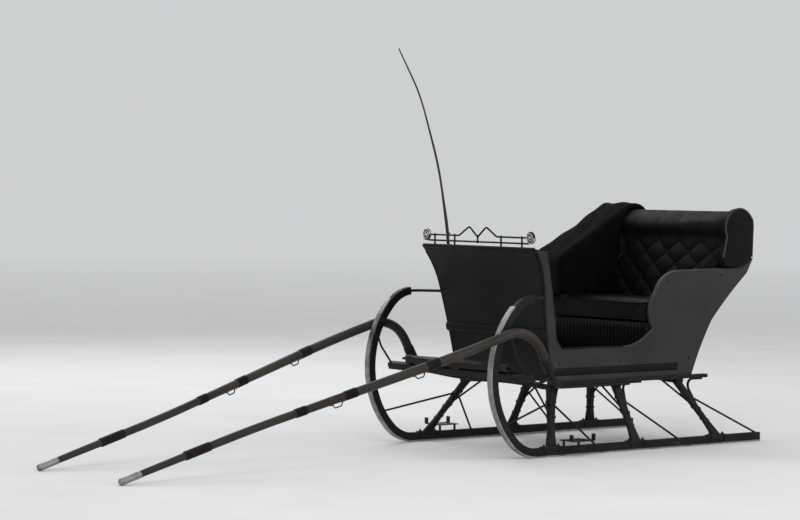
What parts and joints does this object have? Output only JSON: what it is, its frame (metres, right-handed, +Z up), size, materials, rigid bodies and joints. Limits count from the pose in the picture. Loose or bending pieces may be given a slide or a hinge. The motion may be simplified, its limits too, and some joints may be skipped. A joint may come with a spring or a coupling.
{
  "type": "horse drawn sleigh",
  "caption": "Horse drawn sleigh: a one-seat cutter with curled runners, a high dash, a padded seat and a pair of hinged drop-heel shafts with a swinging whiffletree.",
  "frame": {"origin": "on the ground under the middle of the overall length, midway between the runners", "axes": "+Z up, -Y the way it is drawn, +X to its left side"},
  "size_m": [1.124, 3.777, 1.9673],
  "materials": {
    "body_paint": "dark bottle-green coach paint, worn",
    "gear_wood": "dark painted ash, worn to the wood on edges",
    "inner_wood": "dark stained boards",
    "black_iron": "black painted forged iron",
    "bright_steel": "steel worn bright by snow",
    "black_leather": "black leather, soft sheen",
    "harness_leather": "oiled dark leather",
    "robe_plush": "black plush with a nap",
    "whip_braid": "braided black leather"
  },
  "bodies": {
    "sleigh": {"back_pad": "black_leather", "bench_front": "gear_wood", "bench_middle": "gear_wood", "bench_rear": "gear_wood", "braces_left": "black_iron", "braces_right": "black_iron", "curl_bracket_left": "black_iron", "curl_bracket_right": "black_iron", "dash": "body_paint", "dash_rail": "black_iron", "draft_iron_left": "black_iron", "draft_iron_right": "black_iron", "floor": "inner_wood", "knee_front_left": "gear_wood", "knee_front_right": "gear_wood", "knee_middle_left": "gear_wood", "knee_middle_right": "gear_wood", "knee_rear_left": "gear_wood", "knee_rear_right": "gear_wood", "lower_back": "body_paint", "rave_left": "gear_wood", "rave_right": "gear_wood", "robe": "robe_plush", "runner_left": "gear_wood", "runner_right": "gear_wood", "seat_board": "inner_wood", "seat_cushion": "black_leather", "seat_riser": "inner_wood", "shoe_left": "bright_steel", "shoe_right": "bright_steel", "side_pad_left": "black_leather", "side_pad_right": "black_leather", "side_panel_left": "body_paint", "side_panel_right": "body_paint", "stays_left": "black_iron", "stays_right": "black_iron", "step_left": "black_iron", "step_right": "black_iron", "upper_back": "body_paint", "whip": "whip_braid", "whip_socket": "black_iron"},
    "shafts": {"crossbar": "gear_wood", "heel_iron_left": "black_iron", "heel_iron_right": "black_iron", "shaft_brace_left": "black_iron", "shaft_brace_right": "black_iron", "shaft_left": "gear_wood", "shaft_right": "gear_wood", "tip_cap_left": "bright_steel", "tip_cap_right": "bright_steel", "tug_sleeve_left": "harness_leather", "tug_sleeve_right": "harness_leather", "whiffletree_bolt": "black_iron"},
    "whiffletree": {"whiffletree": "gear_wood", "whiffletree_irons": "black_iron"}
  },
  "joints": [
    {"name": "shaft_hinge", "type": "hinge", "parent": "sleigh", "child": "shafts", "pos_m": [0, 0.42849, 0.375], "axis": [-1, 0, 0], "range_deg": [0, 80]},
    {"name": "whiffletree_pivot", "type": "hinge", "parent": "shafts", "child": "whiffletree", "pos_m": [0, 0.28468, 0.3859], "axis": [0, -0.2749, 0.9615], "range_deg": [-22, 22]}
  ]
}
